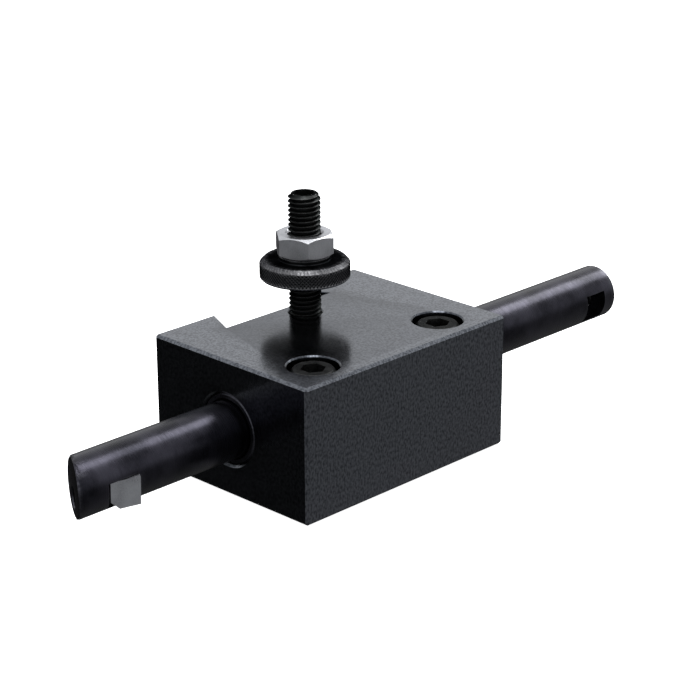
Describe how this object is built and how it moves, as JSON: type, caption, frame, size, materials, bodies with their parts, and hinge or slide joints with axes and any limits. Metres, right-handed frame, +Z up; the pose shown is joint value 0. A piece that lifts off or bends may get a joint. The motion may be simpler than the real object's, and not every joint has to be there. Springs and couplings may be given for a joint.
{
  "type": "boring bar tool holder",
  "caption": "Dovetail quick-change tool holder block carrying a round boring bar and square bit in a split sleeve, with socket clamp screws and a knurled height stop.",
  "frame": {"origin": "centre of the block's underside", "axes": "+Y along the bar from the cutter end to the rear end, +X away from the tool post, +Z up"},
  "size_m": [0.0926, 0.3369, 0.1152],
  "materials": {
    "block_steel": "ground, black oxide, semi-gloss",
    "bar_steel": "turned, black oxide, satin",
    "sleeve_steel": "turned, black oxide, satin",
    "screw_steel": "black oxide, lightly oiled",
    "thumb_nut_steel": "knurled, black oxide",
    "bit_steel": "ground, bright",
    "nut_steel": "plain, bright"
  },
  "bodies": {
    "holder": {"holder_body": "block_steel", "height_stud": "screw_steel"},
    "sleeve": {"reducing_sleeve": "sleeve_steel"},
    "bar": {"boring_bar": "bar_steel"},
    "bit": {"tool_bit": "bit_steel"},
    "bit_lock_front": {"bit_lock_screw_front": "screw_steel"},
    "bit_lock_rear": {"bit_lock_screw_rear": "screw_steel"},
    "clamp_front": {"clamp_screw_front": "screw_steel"},
    "clamp_rear": {"clamp_screw_rear": "screw_steel"},
    "plug_front": {"draw_plug_front": "sleeve_steel"},
    "plug_rear": {"draw_plug_rear": "sleeve_steel"},
    "thumb_nut": {"thumb_nut": "thumb_nut_steel"},
    "lock_nut": {"lock_nut": "nut_steel"}
  },
  "joints": [
    {"name": "sleeve_turn", "type": "hinge", "parent": "holder", "child": "sleeve", "pos_m": [-0.0012, 0, 0.0297], "axis": [0, 1, 0], "continuous": true},
    {"name": "bar_slide", "type": "slide", "parent": "sleeve", "child": "bar", "axis": [0, 1, 0], "range_m": [-0.11, 0.05]},
    {"name": "bit_slide", "type": "slide", "parent": "bar", "child": "bit", "axis": [0.866, -0.5, 0], "range_m": [-0.006, 0.01]},
    {"name": "bit_lock_front_turn", "type": "hinge", "parent": "bar", "child": "bit_lock_front", "pos_m": [-0.0012, -0.144, 0.0257], "axis": [-0.5, -0.866, 0], "range_deg": [0, 360]},
    {"name": "bit_lock_rear_turn", "type": "hinge", "parent": "bar", "child": "bit_lock_rear", "pos_m": [-0.0012, 0.1856, 0.0277], "axis": [0, 1, 0], "range_deg": [0, 360]},
    {"name": "clamp_turn_front", "type": "hinge", "parent": "holder", "child": "clamp_front", "pos_m": [0.029, -0.0401, 0.06], "axis": [0, 0, 1], "range_deg": [0, 360]},
    {"name": "clamp_turn_rear", "type": "hinge", "parent": "holder", "child": "clamp_rear", "pos_m": [0.029, 0.0361, 0.06], "axis": [0, 0, 1], "range_deg": [0, 360]},
    {"name": "plug_draw_front", "type": "slide", "parent": "holder", "child": "plug_front", "axis": [0, 0, -1], "range_m": [0, 0.00195]},
    {"name": "plug_draw_rear", "type": "slide", "parent": "holder", "child": "plug_rear", "axis": [0, 0, -1], "range_m": [0, 0.00195]},
    {"name": "thumb_nut_travel", "type": "slide", "parent": "holder", "child": "thumb_nut", "axis": [0, 0, 1], "range_m": [-0.0154, 0.0139]},
    {"name": "lock_nut_turn", "type": "hinge", "parent": "thumb_nut", "child": "lock_nut", "pos_m": [-0.0202, 0.0039, 0.09], "axis": [0, 0, 1], "range_deg": [-2620, 2370]}
  ],
  "couplings": [
    {"joint": "clamp_turn_front", "follows": "plug_draw_front", "rad_per_m": 3215.8},
    {"joint": "clamp_turn_rear", "follows": "plug_draw_rear", "rad_per_m": 3215.8},
    {"joint": "lock_nut_turn", "follows": "thumb_nut_travel", "rad_per_m": 2968.4}
  ]
}
